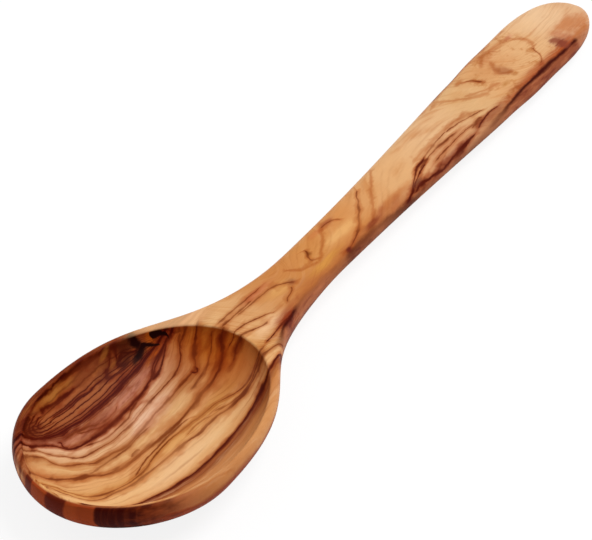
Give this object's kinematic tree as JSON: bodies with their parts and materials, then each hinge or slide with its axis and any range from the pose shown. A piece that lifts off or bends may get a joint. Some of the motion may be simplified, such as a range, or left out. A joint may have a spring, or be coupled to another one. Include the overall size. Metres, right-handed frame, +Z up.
{
  "type": "wooden spoon",
  "caption": "Cooking spoon carved from one piece of olive wood, with a deep egg-shaped bowl and a flat handle that widens to a rounded end.",
  "frame": {"origin": "centre of the footprint, on the table that the spoon lies on", "axes": "+X along the spoon from the tip of the bowl to the end of the handle, +Y across it, +Z up out of the bowl"},
  "size_m": [0.2998, 0.065, 0.0179],
  "materials": {
    "olive_wood": "oiled, satin"
  },
  "bodies": {
    "root": {"spoon": "olive_wood"}
  },
  "joints": []
}
